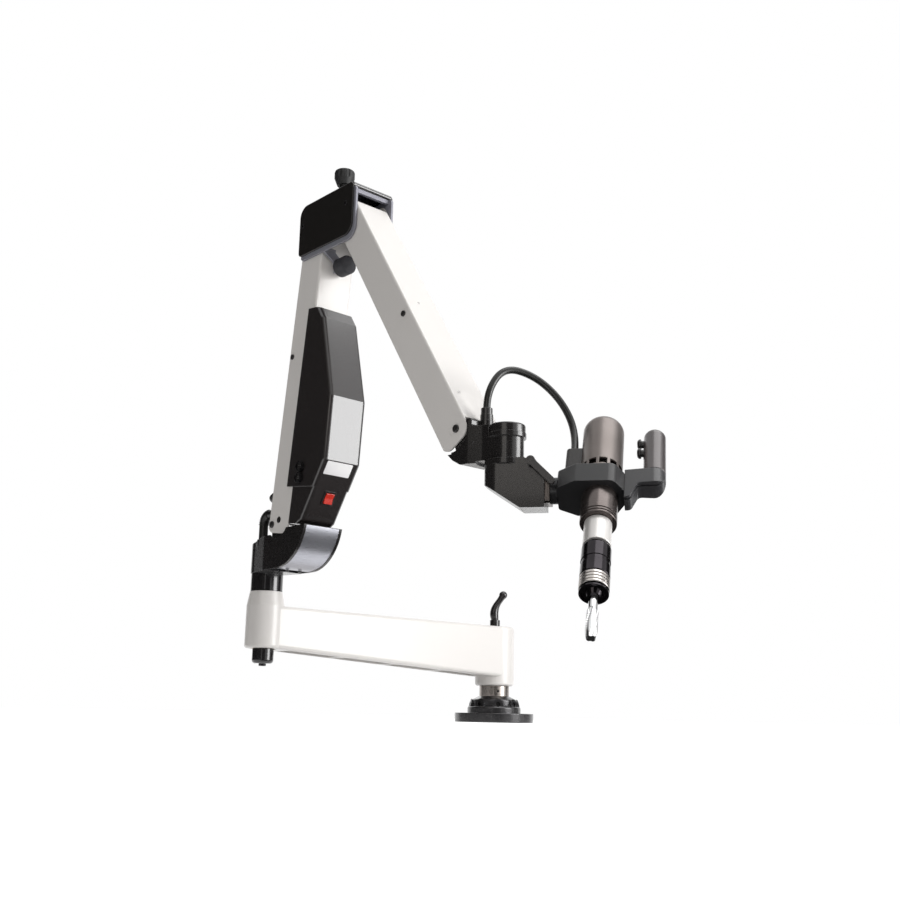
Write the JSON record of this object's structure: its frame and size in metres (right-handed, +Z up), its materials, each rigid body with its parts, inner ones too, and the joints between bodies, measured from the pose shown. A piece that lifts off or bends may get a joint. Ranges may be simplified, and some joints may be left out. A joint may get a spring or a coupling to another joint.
{
  "type": "arm tapping machine",
  "caption": "Bench-mounted balanced tapping arm with a swinging base arm, two parallelogram arms, a tilting powered tapping head and a quick-change chuck.",
  "frame": {"origin": "centre of the base flange on the face that stands on the table", "axes": "+Z up the column; -X from the column to the post; -Y forward, the way the upper arms reach"},
  "size_m": [0.7184, 0.8983, 0.9784],
  "materials": {
    "arm_silver": "satin silver paint",
    "gloss_black": "gloss black paint",
    "steel": "ground steel",
    "bronze": "plain bearing bronze",
    "sleeve_gray": "dark gray",
    "strip_aluminium": "brushed",
    "cover_black": "satin black",
    "motor_gray": "dark gray paint",
    "chuck_black": "polished black",
    "button_black": "matte",
    "rocker_red": "gloss",
    "bumper_rubber": "matte",
    "board_green": "matte",
    "inner_steel": "plain",
    "tap_steel": "polished"
  },
  "bodies": {
    "base": {"base_flange": "gloss_black", "base_hub": "gloss_black", "base_column": "steel", "base_collar": "steel"},
    "swing_arm": {"swing_arm": "arm_silver", "swing_base_bush": "bronze", "swing_post_bush": "bronze"},
    "clamp_lever": {"clamp_lever": "gloss_black"},
    "turret": {"post_shaft": "steel", "post_sleeve": "sleeve_gray", "yoke": "gloss_black", "yoke_strip": "strip_aluminium", "lower_pins": "steel", "rear_hose": "button_black"},
    "lower_arm": {"lower_tube": "arm_silver", "lower_gas_spring": "motor_gray", "controller_housing": "cover_black", "power_supply": "inner_steel", "control_board": "board_green", "rocker_bezel": "cover_black", "panel_sockets": "cover_black", "cable_inlet": "cover_black"},
    "rocker": {"rocker": "rocker_red"},
    "lower_tie": {"lower_tie_rod": "strip_aluminium"},
    "elbow": {"elbow_cover_left": "cover_black", "elbow_cover_right": "cover_black", "elbow_roof": "cover_black", "elbow_core": "strip_aluminium", "elbow_pins": "steel", "elbow_tie_pins": "steel", "bumper": "bumper_rubber"},
    "elbow_knob": {"elbow_knob": "cover_black"},
    "upper_arm": {"upper_tube": "arm_silver", "upper_gas_spring": "motor_gray"},
    "upper_tie": {"upper_tie_rod": "strip_aluminium"},
    "wrist": {"wrist_bracket": "gloss_black", "wrist_pins": "steel", "swivel_cap": "gloss_black", "conduit_gland": "cover_black", "conduit": "button_black"},
    "wrist_housing": {"wrist_housing": "gloss_black", "swivel_shaft": "steel", "neck_flange": "strip_aluminium"},
    "lock_lever": {"lock_lever": "cover_black"},
    "head": {"tilt_shaft": "steel", "head_casting": "gloss_black", "motor_can": "motor_gray", "motor_core": "inner_steel", "connector_box": "cover_black", "quill_sleeve": "sleeve_gray", "handle_arm": "cover_black", "grip": "cover_black"},
    "button_reverse": {"button_reverse": "button_black"},
    "button_forward": {"button_forward": "button_black"},
    "spindle": {"drive_spindle": "steel", "spindle_collar": "strip_aluminium", "chuck_body": "chuck_black", "tap": "tap_steel"},
    "release_ring": {"release_ring": "steel"}
  },
  "joints": [
    {"name": "base_swing", "type": "hinge", "parent": "base", "child": "swing_arm", "pos_m": [0, 0, 0], "axis": [0, 0, 1], "range_deg": [-175, 175]},
    {"name": "clamp_turn", "type": "hinge", "parent": "base", "child": "clamp_lever", "pos_m": [0, 0, 0], "axis": [0, 0, 1], "range_deg": [-60, 60]},
    {"name": "post_swivel", "type": "hinge", "parent": "swing_arm", "child": "turret", "pos_m": [-0.575, 0, 0], "axis": [0, 0, 1], "range_deg": [-170, 170]},
    {"name": "lower_arm_tilt", "type": "hinge", "parent": "turret", "child": "lower_arm", "pos_m": [-0.575, -0.0825, 0.3385], "axis": [1, 0, 0], "range_deg": [-4, 18], "deforming": ["rear_hose"]},
    {"name": "lower_tie_tilt", "type": "hinge", "parent": "turret", "child": "lower_tie", "pos_m": [-0.575, -0.0655, 0.3385], "axis": [1, 0, 0], "range_deg": [-4, 18]},
    {"name": "elbow_level", "type": "hinge", "parent": "lower_arm", "child": "elbow", "pos_m": [-0.575, -0.14709, 0.86455], "axis": [1, 0, 0], "range_deg": [-18, 4]},
    {"name": "elbow_knob_turn", "type": "hinge", "parent": "elbow", "child": "elbow_knob", "pos_m": [-0.575, -0.18109, 0.86455], "axis": [0, 0, 1], "range_deg": [-120, 120]},
    {"name": "upper_arm_tilt", "type": "hinge", "parent": "elbow", "child": "upper_arm", "pos_m": [-0.575, -0.23959, 0.86455], "axis": [1, 0, 0], "range_deg": [-57, 10]},
    {"name": "upper_tie_tilt", "type": "hinge", "parent": "elbow", "child": "upper_tie", "pos_m": [-0.575, -0.25161, 0.87657], "axis": [1, 0, 0], "range_deg": [-57, 10]},
    {"name": "wrist_level", "type": "hinge", "parent": "upper_arm", "child": "wrist", "pos_m": [-0.575, -0.52825, 0.42005], "axis": [1, 0, 0], "range_deg": [-10, 57]},
    {"name": "wrist_swivel", "type": "hinge", "parent": "wrist", "child": "wrist_housing", "pos_m": [-0.575, -0.60775, 0.42005], "axis": [0, 0, 1], "range_deg": [-120, 60], "deforming": ["conduit"]},
    {"name": "wrist_lock_turn", "type": "hinge", "parent": "wrist_housing", "child": "lock_lever", "pos_m": [-0.55235, -0.6395, 0.36095], "axis": [0.8139, 0.581, 0], "range_deg": [-60, 20]},
    {"name": "head_tilt", "type": "hinge", "parent": "wrist_housing", "child": "head", "pos_m": [-0.575, -0.60775, 0.32345], "axis": [0.581, -0.8139, 0], "range_deg": [-53, 90], "deforming": ["conduit"]},
    {"name": "spindle_spin", "type": "hinge", "parent": "head", "child": "spindle", "pos_m": [-0.49806, -0.71562, 0.32345], "axis": [0.4899, 0.3489, 0.7989], "continuous": true},
    {"name": "release_slide", "type": "slide", "parent": "spindle", "child": "release_ring", "axis": [-0.4899, -0.3489, -0.7989], "range_m": [0, 0.0025], "stiffness_N_per_m": 2000, "springref_m": -0.002},
    {"name": "reverse_press", "type": "slide", "parent": "head", "child": "button_reverse", "axis": [0.581, -0.8139, 0], "range_m": [0, 0.0025], "stiffness_N_per_m": 600, "springref_m": -0.002},
    {"name": "forward_press", "type": "slide", "parent": "head", "child": "button_forward", "axis": [0.581, -0.8139, 0], "range_m": [0, 0.0025], "stiffness_N_per_m": 600, "springref_m": -0.002},
    {"name": "rocker_tilt", "type": "hinge", "parent": "lower_arm", "child": "rocker", "pos_m": [-0.575, -0.17304, 0.37144], "axis": [1, 0, 0], "range_deg": [0, 7]}
  ],
  "couplings": [
    {"joint": "lower_tie_tilt", "follows": "lower_arm_tilt", "ratio": 1},
    {"joint": "elbow_level", "follows": "lower_arm_tilt", "ratio": -1},
    {"joint": "upper_tie_tilt", "follows": "upper_arm_tilt", "ratio": 1},
    {"joint": "wrist_level", "follows": "upper_arm_tilt", "ratio": -1}
  ]
}
